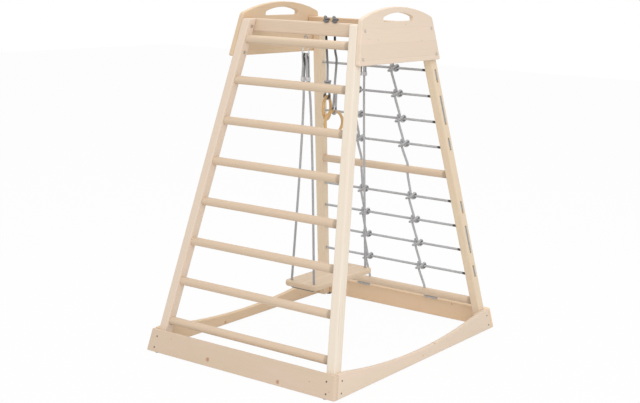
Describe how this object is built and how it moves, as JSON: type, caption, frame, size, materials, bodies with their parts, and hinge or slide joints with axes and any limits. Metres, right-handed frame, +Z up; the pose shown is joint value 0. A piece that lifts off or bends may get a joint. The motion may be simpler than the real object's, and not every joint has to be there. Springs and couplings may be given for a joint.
{
  "type": "indoor play tower",
  "caption": "Wooden A-frame play tower for indoors with a rung ladder, a climbing net, a hanging swing and hand rings.",
  "frame": {"origin": "middle of the footprint at floor level", "axes": "+Z up, -Y towards the ladder side, +X towards the end where the rings hang"},
  "size_m": [0.833, 1.0906, 1.249],
  "materials": {
    "leg_wood": "satin varnish",
    "board_wood": "satin varnish",
    "panel_wood": "satin varnish",
    "beam_wood": "satin varnish",
    "rung_wood": "satin varnish",
    "seat_wood": "satin varnish",
    "ring_wood": "satin varnish",
    "net_rope": "braided polyester rope",
    "swing_rope": "braided polyester rope",
    "ring_rope": "braided polyester rope",
    "foot_rubber": "matte",
    "sleeve_rubber": "matte",
    "bolt_steel": "zinc plated",
    "hook_steel": "zinc plated"
  },
  "bodies": {
    "tower": {"leg_front_left": "leg_wood", "leg_front_right": "leg_wood", "leg_rear_left": "leg_wood", "leg_rear_right": "leg_wood", "base_board_front": "board_wood", "base_board_rear": "board_wood", "base_board_left": "board_wood", "base_board_right": "board_wood", "end_panel_left": "panel_wood", "end_panel_right": "panel_wood", "top_beam_front": "beam_wood", "top_beam_rear": "beam_wood", "ladder_rung_1": "rung_wood", "ladder_rung_2": "rung_wood", "ladder_rung_3": "rung_wood", "ladder_rung_4": "rung_wood", "ladder_rung_5": "rung_wood", "ladder_rung_6": "rung_wood", "ladder_rung_7": "rung_wood", "ladder_rung_8": "rung_wood", "net_rung_middle": "rung_wood", "net_rung_bottom": "rung_wood", "net_rope_upper": "net_rope", "net_rope_lower": "net_rope", "net_rope_column_left": "net_rope", "net_rope_column_right": "net_rope", "foot_pad_front_left": "foot_rubber", "foot_pad_front_right": "foot_rubber", "foot_pad_rear_left": "foot_rubber", "foot_pad_rear_right": "foot_rubber", "panel_bolt_front_left_upper": "bolt_steel", "panel_bolt_front_left_lower": "bolt_steel", "panel_bolt_front_right_upper": "bolt_steel", "panel_bolt_front_right_lower": "bolt_steel", "panel_bolt_rear_left_upper": "bolt_steel", "panel_bolt_rear_left_lower": "bolt_steel", "panel_bolt_rear_right_upper": "bolt_steel", "panel_bolt_rear_right_lower": "bolt_steel", "screw_eye_front": "hook_steel", "screw_eye_rear": "hook_steel", "ring_1_top_knot": "ring_rope", "ring_2_top_knot": "ring_rope"},
    "swing": {"carabiner_front": "hook_steel", "swing_rope_front": "swing_rope", "rope_sleeve_front_left": "sleeve_rubber", "rope_sleeve_front_right": "sleeve_rubber", "carabiner_rear": "hook_steel", "swing_rope_rear": "swing_rope", "rope_sleeve_rear_left": "sleeve_rubber", "rope_sleeve_rear_right": "sleeve_rubber", "swing_seat": "seat_wood"},
    "ring_1_hang": {"ring_1": "ring_wood", "ring_1_rope": "ring_rope"},
    "ring_2_hang": {"ring_2": "ring_wood", "ring_2_rope": "ring_rope"}
  },
  "joints": [
    {"name": "swing_hinge", "type": "hinge", "parent": "tower", "child": "swing", "pos_m": [0, 0, 1.122], "axis": [0, 1, 0], "range_deg": [-12, 40]},
    {"name": "ring_1_hinge", "type": "hinge", "parent": "tower", "child": "ring_1_hang", "pos_m": [0.0865, -0.18157, 1.1417], "axis": [1, 0, 0], "range_deg": [-8, 40]},
    {"name": "ring_2_hinge", "type": "hinge", "parent": "tower", "child": "ring_2_hang", "pos_m": [0.1225, -0.18157, 1.1417], "axis": [1, 0, 0], "range_deg": [-8, 40]}
  ]
}
